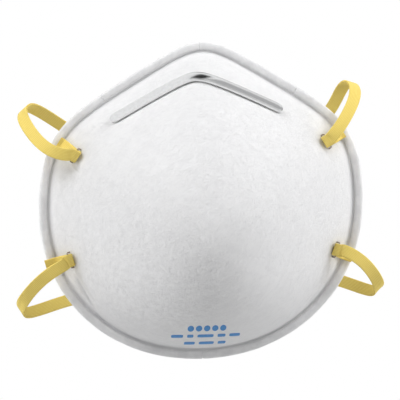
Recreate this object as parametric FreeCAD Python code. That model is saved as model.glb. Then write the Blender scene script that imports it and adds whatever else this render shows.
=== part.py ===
"""Disposable cup-shaped dust mask: moulded cup layers, edge binding, nose clip, foam and two stapled straps.

Millimetres. +Z is up towards the nose, the cup bulges towards -Y and the wearer's face is on the +Y side.
The origin is the centre of the face opening, in the plane of the welded edge. X+ is the right side in front view.
"""
import FreeCAD, Part
import math
import os
from FreeCAD import Vector

# ---------------------------------------------------------------- driving dimensions
# Edge outline: a superellipse below, and above it the soft minimum of an ellipse and two straight nose flanks.
HALF_WIDTH = 65.8
CHIN_DROP = 63.0
SIDE_RISE = 80.0          # half height of the ellipse that shapes the upper sides
JAW_FULLNESS = 2.09       # superellipse power of the lower half
FLANK_DISTANCE = 60.0     # from the centre to each straight flank
FLANK_SLOPE = 30.5        # degrees below horizontal
CORNER_SHARPNESS = 12.0   # power of the soft minimum, which rounds nose tip and shoulders
LEAN = 0.029              # sideways shift of the whole mask for each millimetre of height

# Cup
CUP_DEPTH = 50.0
CROWN_DROP = 13.0         # the crown lies this far below the centre
FOOT_INSET = 4.4          # the cup wall's foot, inside the edge
CROWN_HALF_WIDTH = 61.8   # rounder level curves near the crown
CROWN_HALF_HEIGHT = 58.0
SIDE_FULLNESS = 1.15      # superellipse powers of the profiles: 1 is a straight cone, 2 an ellipse
CHIN_FULLNESS = 1.95
NOSE_FULLNESS = 1.35
AROUND = 48               # stations around the cup

# Cup layers: thickness in the cup and where they are pressed flat at the edge
COVER_CUP, COVER_EDGE = 1.0, 0.40
FILTER_CUP, FILTER_EDGE = 0.5, 0.15
SHELL_CUP, SHELL_EDGE = 0.8, 0.40
LAYER_GAP = 0.12

# Edge binding of U section
BAND_WIDTH = 3.4
BAND_LIP = 0.6
BAND_END_WALL = 0.7
BAND_CLEARANCE = 0.12
BAND_LIP_CHAMFER = 0.3
BAND_ROUND_STEPS = 6      # flats of the rounded outer edge

# Nose clip, its bonding strip and the foam inside
CLIP_SPAN = 68.0          # straight across, from end to end
CLIP_WIDTH = 5.0
CLIP_THICKNESS = 0.9
CLIP_END_RADIUS = 2.2
CLIP_PEAK_Z = 49.8
CLIP_CENTRE_X = -2.1
CLIP_SLOPE_LEFT = 28.8    # degrees of each arm below horizontal: it is bent by hand, a little unevenly
CLIP_SLOPE_RIGHT = 24.9
CLIP_PEAK_RADIUS = 4.5
ADHESIVE_THICKNESS = 0.2
ADHESIVE_MARGIN = 1.0     # left bare at the clip's ends; half of it at its sides
SEAT_GAP = 0.12
FOAM_GAP = 0.55           # its flat back bridges the hollow of the cup
STRIP_STATIONS = 45       # stations along the clip, its bonding strip and the foam
FOAM_SPAN = 74.0
FOAM_WIDTH = 13.0
FOAM_THICKNESS = 4.0
FOAM_END_RADIUS = 3.0

# Straps: flat woven elastic
STRAP_WIDTH = 5.0
STRAP_THICKNESS = 0.8
STAPLE_INSET = 10.0       # from the mask's edge
TAIL_LENGTH = 10.0        # from the staple outwards, in front view
TAIL_LIFT = 0.45          # a tail's clearance over the binding
FOLD_RISE = 3.65          # height of the folded-back run above the tail, middle to middle
LOOP_REACH = 22.0         # how far each loop stands out from its fold
LOOP_END_Y = 19.0         # where a loop joins the rear run
SPLIT_GAP = 0.3
REAR_DEPTH = 24.5         # the rear run lies this far behind the edge plane

# Staples: round wire
WIRE_DIAMETER = 0.56
CROWN_WIDTH = 6.2
BEND_RADIUS = 0.5
CLINCH_LENGTH = 2.0
HOLE_CLEARANCE = 0.12

# Strap corners, stapled by hand: angle round the edge, share of the staple inset, the tail's slope above horizontal
# in front view and its share of the tail length
CORNERS = {
    "upper_left": (158.5, 1.13, 43.0, 0.90),
    "upper_right": (25.3, 1.13, 26.0, 0.92),
    "lower_left": (202.0, 0.90, -12.0, 1.05),
    "lower_right": (339.3, 0.90, -22.7, 0.87),
}

# ---------------------------------------------------------------- worked out from the above
EDGE_STACK = COVER_EDGE + FILTER_EDGE + SHELL_EDGE + 2 * LAYER_GAP
FRONT_FACE = -EDGE_STACK / 2                       # y of the pressed edge's front face
BAND_SLOT = EDGE_STACK + 2 * BAND_CLEARANCE
BAND_HALF = BAND_SLOT / 2 + BAND_LIP
LAYER_EDGE_INSET = BAND_END_WALL + BAND_CLEARANCE
TAIL_RISE = SEAT_GAP + STRAP_THICKNESS / 2         # a tail's middle above the cover
TAIL_STEP_Y = -BAND_HALF - TAIL_LIFT - STRAP_THICKNESS / 2


# ---------------------------------------------------------------- outline and cup surface
def direction(angle):
    """Unit vector in the edge plane at an angle in degrees, 0 to the right and 90 at the nose."""
    a = math.radians(angle)
    return Vector(math.cos(a), 0, math.sin(a))


def leaned(point):
    """The point after the mask's slight sideways lean."""
    return Vector(point.x + LEAN * point.z, point.y, point.z)


def edge_radius(angle):
    """Distance from the centre to the mask's edge, before the lean."""
    side, up = abs(direction(angle).x), direction(angle).z
    height, power = (SIDE_RISE, 2.0) if up > 0 else (CHIN_DROP, JAW_FULLNESS)
    radii = [((side / HALF_WIDTH) ** power + (abs(up) / height) ** power) ** (-1 / power)]
    for flank in (90 - FLANK_SLOPE, 90 + FLANK_SLOPE):
        reach = math.cos(math.radians(angle - flank))
        if reach > 0.05:
            radii.append(FLANK_DISTANCE / reach)
    return sum(r ** -CORNER_SHARPNESS for r in radii) ** (-1 / CORNER_SHARPNESS)


def edge_point(angle, inset, y):
    """Point inset square to the edge outline, towards the inside."""
    def at(angle_):
        return leaned(direction(angle_) * edge_radius(angle_))
    along = (at(angle + 0.5) - at(angle - 0.5)).normalize()
    inward = Vector(-along.z, 0, along.x)
    return at(angle) + inward * inset + Vector(0, y, 0)


def fullness(angle):
    """Superellipse power of the cup's profile: nearly straight at the sides, fuller at nose and chin."""
    up = direction(angle).z
    ahead = NOSE_FULLNESS if up > 0 else CHIN_FULLNESS
    return SIDE_FULLNESS + (ahead - SIDE_FULLNESS) * abs(up) ** 3


def cup_point(angle, rise):
    """Outer surface of the cup. rise runs from 0 at the wall's foot to 1 at the crown."""
    power = fullness(angle) * (1 - rise ** 2) + 2.0 * rise ** 2
    share = math.cos(rise * math.pi / 2) ** (2 / power)
    height = math.sin(rise * math.pi / 2) ** (2 / power)
    out = direction(angle)
    foot = edge_radius(angle) - FOOT_INSET
    rounder = 1 / math.hypot(out.x / CROWN_HALF_WIDTH, out.z / CROWN_HALF_HEIGHT)
    blend = rise * rise * (3 - 2 * rise)
    radius = (foot + (rounder - foot) * blend) * share
    centre = Vector(0, FRONT_FACE - CUP_DEPTH * height, -CROWN_DROP * (1 - share))
    return leaned(centre + out * radius)


# Rows of the cup surface, as shares of the flat flange and then as rises up the wall
FLANGE_SHARES = (0.0, 0.45, 0.88, 1.0)
CUP_RISES = (0.10, 0.2, 0.33, 0.48, 0.64, 0.80, 0.93)
FULL_THICKNESS_RISE = 0.33


def cover_rows():
    """Rows of points of the outermost surface, from edge to crown, each with its share of the cup thickness."""
    rows = []
    angles = [360.0 * i / AROUND for i in range(AROUND)]
    for share in FLANGE_SHARES:
        row = []
        for angle in angles:
            edge = edge_point(angle, LAYER_EDGE_INSET, FRONT_FACE)
            row.append(edge + (cup_point(angle, 0.0) - edge) * share)
        rows.append((row, 0.0))
    for rise in CUP_RISES:
        row = [cup_point(angle, rise) for angle in angles]
        if rise == CUP_RISES[-1]:
            row = [Vector(p.x, FRONT_FACE - CUP_DEPTH, p.z) for p in row]
        rows.append((row, min(1.0, rise / FULL_THICKNESS_RISE)))
    crown = leaned(Vector(0, FRONT_FACE - CUP_DEPTH, -CROWN_DROP))
    rows.append(([crown] * AROUND, 1.0))
    return rows


def row_normals(rows):
    """Outward unit normals of the rows, by differences along and across them."""
    normals = []
    last = len(rows) - 1
    for j in range(last + 1):
        line = []
        for i in range(AROUND):
            if j <= 2 or j >= last - 1:
                line.append(Vector(0, -1, 0))
                continue
            along = rows[j][0][(i + 1) % AROUND] - rows[j][0][i - 1]
            across = rows[j + 1][0][i] - rows[j - 1][0][i]
            line.append(along.cross(across).normalize())
        normals.append(line)
    return normals


def through_points(row):
    """Poles of the closed uniform cubic that passes through a closed row of points."""
    count = len(row)
    poles = list(row)
    for _ in range(40):
        passed = [(poles[i - 1] + poles[i] * 4 + poles[(i + 1) % count]) * (1 / 6) for i in range(count)]
        poles = [poles[i] + (row[i] - passed[i]) for i in range(count)]
    return poles


def closed_skin(rows, degree=3):
    """B-spline face, closed around and open across, through rows of points."""
    around = len(rows[0])
    poles = [list(line) for line in zip(*[through_points(row) for row in rows])]
    poles = poles[-1:] + poles[:-1]
    across = len(rows)
    knots = [float(k) for k in range(across - degree + 1)]
    multiplicities = [degree + 1] + [1] * (len(knots) - 2) + [degree + 1]
    surface = Part.BSplineSurface()
    surface.buildFromPolesMultsKnots(
        poles, [1] * (around + 1), multiplicities,
        [float(k) for k in range(around + 1)], knots, True, False, 3, degree)
    return surface


def sewn_solid(faces):
    """One closed solid from faces that meet at their edges."""
    shell = Part.makeShell(faces)
    shell.sewShape()
    solid = Part.Solid(Part.Shell(shell.Faces))
    if solid.Volume < 0:
        solid.reverse()
    return solid


def closed_edge(surface, at_end):
    """The closed boundary curve of a skin, at its first or last row."""
    _, _, first, last = surface.bounds()
    return surface.vIso(last if at_end else first).toShape()


# ---------------------------------------------------------------- cup layers
def layer_surfaces():
    """Faces of the three nested layers, each as its outer and inner surface."""
    base = cover_rows()
    normals = row_normals(base)
    depths = []
    at_edge = 0.0
    in_cup = 0.0
    for edge, cup in ((COVER_EDGE, COVER_CUP), (FILTER_EDGE, FILTER_CUP), (SHELL_EDGE, SHELL_CUP)):
        depths.append(((at_edge, in_cup), (at_edge + edge, in_cup + cup)))
        at_edge += edge + LAYER_GAP
        in_cup += cup + LAYER_GAP
    pairs = []
    for pair in depths:
        surfaces = []
        for edge_depth, cup_depth in pair:
            rows = []
            for (row, share), line in zip(base, normals):
                depth = edge_depth + (cup_depth - edge_depth) * share
                rows.append([p - n * depth for p, n in zip(row, line)])
            surfaces.append(closed_skin(rows))
        pairs.append(surfaces)
    return pairs


def cup_layer(outer, inner):
    """Solid between a layer's two surfaces, closed by a thin rim."""
    rim = Part.makeRuledSurface(closed_edge(outer, False), closed_edge(inner, False))
    return sewn_solid([outer.toShape(), inner.toShape()] + rim.Faces)


# ---------------------------------------------------------------- edge binding
def edge_band():
    """Soft U-section binding that wraps the welded edge all the way round."""
    half_slot = BAND_SLOT / 2
    section = [(BAND_WIDTH, half_slot), (BAND_END_WALL, half_slot)]
    section += [(BAND_END_WALL, -half_slot), (BAND_WIDTH, -half_slot)]
    section += [(BAND_WIDTH, BAND_LIP_CHAMFER - BAND_HALF), (BAND_WIDTH - BAND_LIP_CHAMFER, -BAND_HALF)]
    for i in range(BAND_ROUND_STEPS + 1):
        turn = math.pi * (i / BAND_ROUND_STEPS - 0.5)
        section.append((BAND_HALF * (1 - math.cos(turn)), BAND_HALF * math.sin(turn)))
    section += [(BAND_WIDTH - BAND_LIP_CHAMFER, BAND_HALF), (BAND_WIDTH, BAND_HALF - BAND_LIP_CHAMFER)]
    angles = [360.0 * i / AROUND for i in range(AROUND)]
    rings = [[edge_point(a, inset, y) for a in angles] for inset, y in section]
    faces = []
    for first, second in zip(rings, rings[1:] + rings[:1]):
        faces.append(closed_skin([first, second], 1).toShape())
    return sewn_solid(faces)


# ---------------------------------------------------------------- ribbons
def strip_face(first, second):
    """Face ruled between two open cubic B-spline curves given by their poles."""
    degree = 3
    spans = len(first) - degree
    surface = Part.BSplineSurface()
    surface.buildFromPolesMultsKnots(
        [list(pair) for pair in zip(first, second)],
        [degree + 1] + [1] * (spans - 1) + [degree + 1], [2, 2],
        [float(k) for k in range(spans + 1)], [0.0, 1.0], False, False, degree, 1)
    return surface.toShape()


def ribbon(stations, width, thickness):
    """Flat strip along stations of (point, width direction), with square ends."""
    points = [p for p, _ in stations]
    last = len(points) - 1
    corners = [[], [], [], []]
    for i, (point, across) in enumerate(stations):
        along = (points[min(i + 1, last)] - points[max(i - 1, 0)]).normalize()
        across = (across - along * across.dot(along)).normalize()
        normal = along.cross(across)
        side = across * (width / 2)
        face = normal * (thickness / 2)
        for corner, offset in zip(corners, (side + face, side - face, -side - face, face - side)):
            corner.append(point + offset)
    faces = [strip_face(corners[i - 1], corners[i]) for i in range(4)]
    for end in (0, -1):
        loop = [corner[end] for corner in corners]
        faces.append(Part.Face(Part.makePolygon(loop + loop[:1])))
    return sewn_solid(faces)


def bent_strip(points, across, width, thickness):
    """Flat strip bent in one plane only: its side profile, pushed out across its width."""
    last = len(points) - 1
    faces = []
    for side in (-1, 1):
        line = []
        for i, point in enumerate(points):
            along = (points[min(i + 1, last)] - points[max(i - 1, 0)]).normalize()
            line.append(point + along.cross(across) * (side * thickness / 2))
        spans = last - 2
        multiplicities = [4] + [1] * (spans - 1) + [4]
        curve = Part.BSplineCurve()
        curve.buildFromPolesMultsKnots(line, multiplicities, [float(k) for k in range(spans + 1)], False, 3)
        faces.append((line, curve.toShape()))
    (lower, lower_edge), (upper, upper_edge) = faces
    ends = [Part.makeLine(lower[end], upper[end]) for end in (0, -1)]
    outline = Part.Wire(Part.__sortEdges__([lower_edge, ends[1], upper_edge, ends[0]]))
    return Part.Face(outline).extrude(across * width)


# ---------------------------------------------------------------- seats on the cup surface
def seat(surface, x, z):
    """Point of a cup surface at x and z, and its outward normal."""
    hits = surface.intersect(Part.Line(Vector(x, 0, z), Vector(x, -1, z)))[0]
    hit = min(hits, key=lambda p: p.Y)
    point = Vector(hit.X, hit.Y, hit.Z)
    normal = surface.normal(*surface.parameter(point))
    if normal.y > 0:
        normal = normal * -1
    return point, normal


# ---------------------------------------------------------------- nose clip, bonding strip and foam
def drop(x):
    """Fall of the bent clip below its peak: straight arms joined by a round bend."""
    slope = CLIP_SLOPE_LEFT if x < 0 else CLIP_SLOPE_RIGHT
    return math.tan(math.radians(slope)) * (math.hypot(x, CLIP_PEAK_RADIUS) - CLIP_PEAK_RADIUS)


def seated_strip(surface, span, width, thickness, gap, end_radius, side):
    """Strip that follows a cup surface across the nose, a gap off it: outside for side 1, inside for side -1."""
    stations = []
    count = STRIP_STATIONS
    for i in range(count):
        off = span * (i / (count - 1) - 0.5)
        point, normal = seat(surface, CLIP_CENTRE_X + off, CLIP_PEAK_Z - drop(off))
        stations.append((point + normal * (side * (gap + thickness / 2)), normal))
    turned = []
    for i, (point, normal) in enumerate(stations):
        along = stations[min(i + 1, count - 1)][0] - stations[max(i - 1, 0)][0]
        turned.append((point, along.cross(normal).normalize()))
    strip = ribbon(turned, width, thickness)
    corners = [edge for edge in strip.Edges if abs(edge.Length - thickness) < thickness / 10]
    return strip.makeFillet(end_radius, corners)


# ---------------------------------------------------------------- strap corners
class Fastening:
    """One strap end on the cup: where it is stapled, and the directions along, across and off the wall there."""

    def __init__(self, name, outer, inner):
        """Seats the fastening on the cup's outer surface; inner is the face of the cup that its legs reach."""
        angle, inset_share, tail_slope, tail_share = CORNERS[name]
        self.tail_length = tail_share * TAIL_LENGTH
        self.side = -1 if name.endswith("left") else 1
        t = math.radians(tail_slope)
        self.plan_out = Vector(self.side * math.cos(t), 0, math.sin(t))
        place = leaned(direction(angle) * (edge_radius(angle) - inset_share * STAPLE_INSET))
        self.point, self.off = seat(outer, place.x, place.z)
        self.out = (self.plan_out - Vector(0, self.plan_out.dot(self.off) / self.off.y, 0)).normalize()
        self.crown = self.out.cross(self.off) * -self.side
        depths = []
        for leg in (-1, 1):
            start = self.point + self.crown * (leg * CROWN_WIDTH / 2)
            hits = inner.intersect(Part.Line(start, start + self.off))[0]
            depths.append(min((Vector(h.X, h.Y, h.Z) - start).Length for h in hits))
        self.stack = max(depths)

    def at(self, along, rise):
        """Point at a distance outwards along the wall and a height off it."""
        return self.point + self.out * along + self.off * rise

    def over(self, plan, y):
        """Along and rise of the point at a distance outwards in front view and a given y."""
        right, depth = plan, y - self.point.y
        a, b = self.out.dot(self.plan_out), self.off.dot(self.plan_out)
        c, d = self.out.y, self.off.y
        return (right * d - b * depth) / (a * d - b * c), (a * depth - right * c) / (a * d - b * c)

    def fold(self):
        """Top of the fold over the staple: an end of the strap's swing axis."""
        return self.at(-0.4 * FOLD_RISE, TAIL_RISE + FOLD_RISE)

    def staple(self):
        """Round-wire staple whose legs straddle the strap end, clinched inside the mask."""
        radius = WIRE_DIAMETER / 2
        top = TAIL_RISE + STRAP_THICKNESS / 2 + SEAT_GAP / 2 + radius
        under = self.stack + SEAT_GAP + radius
        straight = CROWN_WIDTH / 2 - BEND_RADIUS
        down = self.off * -1
        start = self.at(0, top)
        wire = Part.makeCylinder(radius, 2 * straight, start - self.crown * straight, self.crown)
        for side in (-1, 1):
            out = self.crown * side
            leg = start + out * (CROWN_WIDTH / 2) + down * BEND_RADIUS
            foot = start + out * straight + down * (under + top)
            pieces = [Part.makeCylinder(radius, under + top - 2 * BEND_RADIUS, leg, down),
                      Part.makeCylinder(radius, CLINCH_LENGTH - BEND_RADIUS, foot, out * -1)]
            bends = ((start + out * straight + down * BEND_RADIUS, down * -1), (foot - down * BEND_RADIUS, down))
            for centre, first in bends:
                disc = Part.Face(Part.Wire(Part.makeCircle(radius, centre + first * BEND_RADIUS, out)))
                pieces.append(disc.revolve(centre, first.cross(out), 90))
            wire = wire.fuse(pieces)
        return wire

    def leg_holes(self):
        """Cutters for the holes that the staple legs pierce through the cup layers."""
        cutters = []
        for side in (-1, 1):
            start = self.at(0, self.stack) + self.crown * (side * CROWN_WIDTH / 2)
            radius = WIRE_DIAMETER / 2 + HOLE_CLEARANCE
            cutters.append(Part.makeCylinder(radius, 3 * self.stack, start, self.off * -1))
        return cutters

    def tail(self):
        """Stapled end of a strap: flat over the binding, down along the wall, and folded back over the staple."""
        fold = FOLD_RISE / 2
        meet = (TAIL_STEP_Y - self.at(0, TAIL_RISE).y) / self.out.y
        plan_meet = (self.at(meet, TAIL_RISE) - self.point).dot(self.plan_out)
        rest = self.tail_length - plan_meet
        route = [self.over(plan_meet + share * rest, TAIL_STEP_Y) for share in (1.0, 0.75, 0.45, 0.15)]
        route += [(0.8 * meet, TAIL_RISE), (0.5 * meet, TAIL_RISE), (0, TAIL_RISE), (-0.8 * fold, TAIL_RISE),
                  (-1.35 * fold, TAIL_RISE + 0.35 * fold), (-1.4 * fold, TAIL_RISE + fold),
                  (-1.3 * fold, TAIL_RISE + 1.65 * fold)]
        fold_top = self.fold()
        plan_fold = (fold_top - self.point).dot(self.plan_out)
        route += [self.over(plan_fold + step, fold_top.y) for step in (-0.2 * fold, 0.6 * fold, 1.4 * fold)]
        points = [self.at(*place) - self.crown * (STRAP_WIDTH / 2) for place in route]
        whole = bent_strip(points, self.crown, STRAP_WIDTH, STRAP_THICKNESS)
        # The tail lies below the fold on both sides of the plane, so only the folded-back run is cut.
        size = 4 * STRAP_WIDTH
        x = fold_top.x - self.side * SPLIT_GAP / 2
        corner = Vector(x if self.side > 0 else x - size, fold_top.y + fold - size, fold_top.z - size / 2)
        return whole.cut(Part.makeBox(size, size, size, corner))

    def loop(self, shares):
        """Loop stations in place: shares of the reach from in front of the staple, mirrored on the left side."""
        root = Vector(self.point.x, self.fold().y, self.point.z)
        depth = (LOOP_END_Y - root.y) / shares[-1][0][1]
        stations = []
        for (out, y, up), (across_out, across_y, across_up) in shares:
            point = root + Vector(self.side * out * LOOP_REACH, y * depth, up * LOOP_REACH)
            stations.append((point, Vector(self.side * across_out, across_y, across_up)))
        return stations


# Each loop from its staple, out and round behind the edge: (outward, y, up), outward and up as shares of the
# loop's reach and y as a share of its depth, then the direction across the strap as (outward, y, up).
UPPER_LEFT_LOOP = (
    ((0.02, 0.0, 0.0), (-0.45, 0.0, 0.9)), ((0.188, -0.02, 0.019), (-0.3, -0.1, 0.93)),
    ((0.345, -0.02, 0.054), (-0.33, 0.05, 0.94)), ((0.516, -0.01, 0.128), (-0.58, 0.1, 0.8)),
    ((0.709, 0.1, 0.304), (-0.75, 0.1, 0.65)), ((0.857, 0.24, 0.526), (-0.85, 0.1, 0.5)),
    ((0.939, 0.35, 0.686), (-0.87, -0.16, 0.47)), ((0.975, 0.47, 0.849), (-0.67, -0.6, 0.43)),
    ((0.883, 0.61, 0.934), (-0.51, -0.66, 0.55)), ((0.767, 0.72, 0.927), (-0.54, -0.39, 0.74)),
    ((0.567, 0.83, 0.821), (-0.59, -0.13, 0.79)), ((0.342, 0.95, 0.676), (-0.63, -0.25, 0.72)),
    ((0.002, 1.08, 0.446), (-0.6, -0.2, 0.76)))
UPPER_RIGHT_LOOP = (
    ((0.02, 0.0, 0.02), (-0.45, 0.0, 0.9)), ((0.091, -0.02, 0.08), (-0.75, 0.0, 0.65)),
    ((0.249, -0.01, 0.26), (-0.81, 0.12, 0.57)), ((0.43, 0.09, 0.52), (-0.87, 0.2, 0.44)),
    ((0.577, 0.22, 0.778), (-0.93, 0.09, 0.37)), ((0.636, 0.36, 0.988), (-0.96, -0.2, 0.18)),
    ((0.588, 0.54, 1.134), (-0.83, -0.51, 0.21)), ((0.501, 0.7, 1.094), (-0.81, -0.39, 0.43)),
    ((0.417, 0.79, 0.947), (-0.84, 0.12, 0.53)), ((0.327, 0.88, 0.734), (-0.84, 0.16, 0.52)),
    ((0.148, 1.02, 0.459), (-0.75, 0.2, 0.6)))
LOWER_LEFT_LOOP = (
    ((0.02, 0.0, -0.01), (0.3, 0.0, 0.95)), ((0.088, -0.02, -0.06), (0.36, -0.2, 0.88)),
    ((0.265, -0.02, -0.153), (0.52, 0.0, 0.85)), ((0.48, 0.0, -0.288), (0.66, -0.08, 0.74)),
    ((0.711, 0.115, -0.498), (0.76, -0.08, 0.64)), ((0.883, 0.275, -0.717), (0.82, -0.04, 0.56)),
    ((0.964, 0.41, -0.868), (0.53, 0.5, 0.69)), ((0.912, 0.57, -0.977), (0.38, 0.51, 0.77)),
    ((0.767, 0.71, -0.973), (0.31, 0.28, 0.91)), ((0.478, 0.845, -0.898), (0.31, 0.19, 0.93)),
    ((0.198, 0.96, -0.813), (0.3, 0.2, 0.92)), ((-0.216, 1.07, -0.715), (0.24, 0.12, 0.96)))
LOWER_RIGHT_LOOP = (
    ((0.02, 0.0, -0.005), (0.3, 0.0, 0.95)), ((0.104, -0.02, -0.004), (0.32, 0.17, 0.93)),
    ((0.276, -0.02, -0.074), (0.42, 0.2, 0.88)), ((0.511, 0.03, -0.235), (0.6, 0.16, 0.78)),
    ((0.706, 0.165, -0.451), (0.79, 0.0, 0.62)), ((0.864, 0.35, -0.68), (0.95, -0.07, 0.31)),
    ((0.864, 0.53, -0.825), (0.54, 0.48, 0.69)), ((0.696, 0.69, -0.791), (0.37, 0.12, 0.92)),
    ((0.458, 0.8, -0.695), (0.33, -0.04, 0.94)), ((0.188, 0.92, -0.594), (0.33, 0.08, 0.94)),
    ((-0.146, 1.05, -0.489), (0.29, 0.05, 0.96)))
# Rear runs behind the mask: shares of the half width, of the rear depth and of the chin drop
UPPER_REAR = ((-0.55, 0.94, 0.31), (-0.25, 1.0, 0.23), (0.02, 1.02, 0.215), (0.3, 1.0, 0.245), (0.57, 0.92, 0.36))
LOWER_REAR = ((-0.45, 0.93, -0.555), (-0.15, 1.0, -0.515), (0.15, 1.0, -0.49), (0.45, 0.93, -0.485))


def free_strap(left, left_loop, right, right_loop, rear):
    """Free part of a strap: left loop, run behind the mask and right loop, between the two folds."""
    stations = left.loop(left_loop)
    for x_share, y_share, z_share in rear:
        point = Vector(x_share * HALF_WIDTH, y_share * REAR_DEPTH, z_share * CHIN_DROP)
        stations.append((leaned(point), Vector(0, -0.1, 1)))
    stations += right.loop(right_loop)[::-1]
    whole = ribbon(stations, STRAP_WIDTH, STRAP_THICKNESS)
    size = 2 * STRAP_WIDTH
    for end in (left, right):
        fold = end.fold()
        x = fold.x + end.side * SPLIT_GAP / 2
        corner_x = x - size if end.side > 0 else x
        whole = whole.cut(Part.makeBox(size, size, size, Vector(corner_x, fold.y - size / 2, fold.z - size / 2)))
    return whole


# ---------------------------------------------------------------- the parts
def fastenings(outer, inner):
    """The four strap ends by name."""
    return {name: Fastening(name, outer, inner) for name in CORNERS}


def build():
    """All nodes of the mask by name."""
    (cover_out, cover_in), (filter_out, filter_in), (shell_out, shell_in) = layer_surfaces()
    ends = fastenings(cover_out, shell_in)
    holes = []
    for end in ends.values():
        holes += end.leg_holes()
    bond_span, bond_width = CLIP_SPAN - 2 * ADHESIVE_MARGIN, CLIP_WIDTH - ADHESIVE_MARGIN
    bond_radius = CLIP_END_RADIUS - ADHESIVE_MARGIN / 2
    clip_gap = 2 * SEAT_GAP + ADHESIVE_THICKNESS
    nodes = {
        "outer_cover": cup_layer(cover_out, cover_in).cut(holes),
        "filter_web": cup_layer(filter_out, filter_in).cut(holes),
        "inner_shell": cup_layer(shell_out, shell_in).cut(holes),
        "edge_band": edge_band(),
    }
    bond = (bond_span, bond_width, ADHESIVE_THICKNESS, SEAT_GAP)
    clip = (CLIP_SPAN, CLIP_WIDTH, CLIP_THICKNESS, clip_gap)
    foam = (FOAM_SPAN, FOAM_WIDTH, FOAM_THICKNESS, FOAM_GAP)
    nodes["clip_adhesive"] = seated_strip(cover_out, *bond, bond_radius, 1)
    nodes["nose_clip"] = seated_strip(cover_out, *clip, CLIP_END_RADIUS, 1)
    nodes["nose_foam"] = seated_strip(shell_in, *foam, FOAM_END_RADIUS, -1)
    for name, left, right, rear in (("upper", UPPER_LEFT_LOOP, UPPER_RIGHT_LOOP, UPPER_REAR),
                                    ("lower", LOWER_LEFT_LOOP, LOWER_RIGHT_LOOP, LOWER_REAR)):
        nodes[name + "_strap"] = free_strap(ends[name + "_left"], left, ends[name + "_right"], right, rear)
    for name, end in ends.items():
        nodes[name + "_staple"] = end.staple()
        nodes[name + "_tail"] = end.tail()
    return nodes


os.makedirs("parts", exist_ok=True)
for node, shape in build().items():
    print(node, len(shape.Solids), "solid", "valid", shape.isValid(), "volume %.1f" % shape.Volume, shape.BoundBox)
    shape.exportStep("parts/" + node + ".step")
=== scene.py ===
"""Visual model of a disposable cup dust mask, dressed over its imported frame.

Metres, in the frame's own axes: +Z up towards the nose, the cup bulges towards -Y, the wearer's face is at +Y.
"""

import logging
import math
from dataclasses import dataclass, field
from enum import Enum

import bpy
import numpy as np
from bpy.types import Material, Node, NodeSocket, NodeTree, Object
from mathutils import Matrix, Vector
from numpy import ndarray as Array


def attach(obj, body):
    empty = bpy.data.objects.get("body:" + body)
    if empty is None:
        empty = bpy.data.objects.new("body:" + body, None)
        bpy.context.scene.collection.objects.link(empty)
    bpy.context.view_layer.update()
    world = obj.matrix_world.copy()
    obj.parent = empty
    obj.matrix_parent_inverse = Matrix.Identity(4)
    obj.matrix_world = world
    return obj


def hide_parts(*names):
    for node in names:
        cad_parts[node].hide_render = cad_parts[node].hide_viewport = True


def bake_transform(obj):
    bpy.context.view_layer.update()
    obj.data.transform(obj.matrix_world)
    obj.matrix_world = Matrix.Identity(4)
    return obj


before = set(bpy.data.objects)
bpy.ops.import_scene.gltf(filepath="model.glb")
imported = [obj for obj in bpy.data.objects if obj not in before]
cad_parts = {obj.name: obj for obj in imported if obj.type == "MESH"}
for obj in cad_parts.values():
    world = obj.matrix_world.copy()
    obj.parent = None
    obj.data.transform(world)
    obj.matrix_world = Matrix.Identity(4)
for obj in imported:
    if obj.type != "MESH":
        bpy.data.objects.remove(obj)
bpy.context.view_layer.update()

log = logging.getLogger("dust_mask")
logging.basicConfig(level=logging.INFO, format="%(name)s: %(message)s")

MM = 0.001
TAU = 2 * math.pi


# ---------------------------------------------------------------- curves, grids and meshes
def clamped_basis(count: int, samples: Array) -> Array:
    """Weights of a clamped uniform cubic B-spline.

    Args:
        count: number of control rows.
        samples: parameters from 0 to count - 3.

    Returns:
        Array (samples, count), each row adding up to 1, by the Cox-de Boor recursion.
    """
    spans = count - 3
    knots = np.concatenate([np.zeros(3), np.arange(spans + 1.0), np.full(3, float(spans))])
    t = np.clip(samples, 0.0, spans - 1e-9)[:, None]
    weights = ((t >= knots[:-1]) & (t < knots[1:])).astype(float)
    for degree in (1, 2, 3):
        rise = knots[degree:-1] - knots[:-degree - 1]
        fall = knots[degree + 1:] - knots[1:-degree]
        up = np.where(rise > 0, (t - knots[:-degree - 1]) / np.where(rise > 0, rise, 1), 0)
        down = np.where(fall > 0, (knots[degree + 1:] - t) / np.where(fall > 0, fall, 1), 0)
        weights = up * weights[:, :-1] + down * weights[:, 1:]
    return weights


def unit(vectors: Array) -> Array:
    """Vectors divided by their lengths, along the last axis."""
    return vectors / np.maximum(np.linalg.norm(vectors, axis=-1, keepdims=True), 1e-12)


def rounded(turn: Array, cos_power: float, sin_power: float) -> tuple[Array, Array]:
    """Signed powers of the cosine and sine at given angles: a superellipse of unit size."""
    c, s = np.cos(turn), np.sin(turn)
    return np.sign(c) * np.abs(c) ** cos_power, np.sign(s) * np.abs(s) ** sin_power


def distances(path: Array) -> Array:
    """Distance along a path at each of its points."""
    return np.concatenate([[0], np.cumsum(np.linalg.norm(np.diff(path, axis=0), axis=1))])


def grid_faces(rows: int, columns: int, close_rows: bool, close_columns: bool) -> Array:
    """Four-sided faces of a grid of points.

    Args:
        rows: number of rows.
        columns: number of points in a row.
        close_rows: whether the last row joins the first.
        close_columns: whether the last column joins the first.

    Returns:
        Array (faces, 4) of point numbers, row by row.
    """
    i = np.arange(rows if close_rows else rows - 1)[:, None]
    j = np.arange(columns if close_columns else columns - 1)[None, :]
    i2, j2 = (i + 1) % rows, (j + 1) % columns
    corners = np.stack(np.broadcast_arrays(i * columns + j, i * columns + j2, i2 * columns + j2, i2 * columns + j), -1)
    return corners.reshape(-1, 4)


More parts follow.
